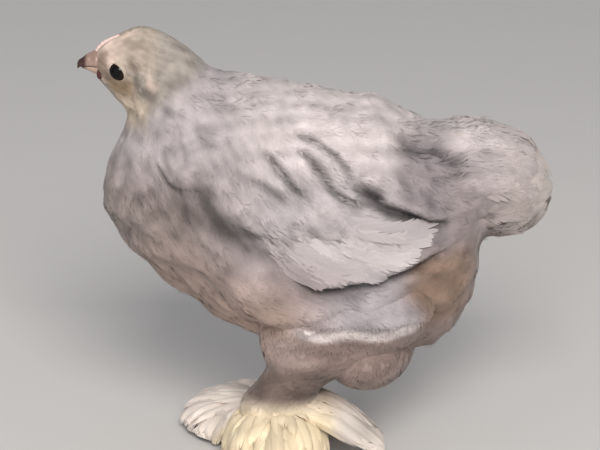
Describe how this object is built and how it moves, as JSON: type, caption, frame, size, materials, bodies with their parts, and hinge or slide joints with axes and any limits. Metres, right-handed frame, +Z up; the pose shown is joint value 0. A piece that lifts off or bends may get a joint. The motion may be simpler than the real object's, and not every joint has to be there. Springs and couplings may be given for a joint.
{
  "type": "pekin bantam",
  "caption": "Standing young bantam chicken, a still life-size display model: round fluffy body, short neck and tail, folded wings, feathered shanks and feet.",
  "frame": {"origin": "middle of the base of the bounding box, at the level that the feet stand on", "axes": "+Z up, -X the way the bird faces, so +X runs from beak to tail, -Y the bird's left side"},
  "size_m": [0.2152, 0.1102, 0.2076],
  "materials": {
    "plumage": "soft lavender-grey feathers",
    "head_feathers": "short creamy lavender feathers",
    "foot_feathers": "cream-white feathers",
    "beak_horn": "satin dark horn",
    "comb_skin": "matte pink skin",
    "eye": "glossy near-black",
    "claw_horn": "pale horn"
  },
  "bodies": {
    "root": {"head": "head_feathers", "neck": "plumage", "torso": "plumage", "tail": "plumage", "wing_left": "plumage", "wing_right": "plumage", "thigh_left": "plumage", "thigh_right": "plumage", "shank_left": "plumage", "shank_right": "plumage", "foot_left": "foot_feathers", "foot_right": "foot_feathers", "beak_upper": "beak_horn", "beak_lower": "beak_horn", "comb": "comb_skin", "wattle_left": "comb_skin", "wattle_right": "comb_skin", "eye_left": "eye", "eye_right": "eye", "claw_middle_left": "claw_horn", "claw_inner_left": "claw_horn", "claw_outer_left": "claw_horn", "claw_hind_left": "claw_horn", "claw_middle_right": "claw_horn", "claw_inner_right": "claw_horn", "claw_outer_right": "claw_horn", "claw_hind_right": "claw_horn"}
  },
  "joints": []
}
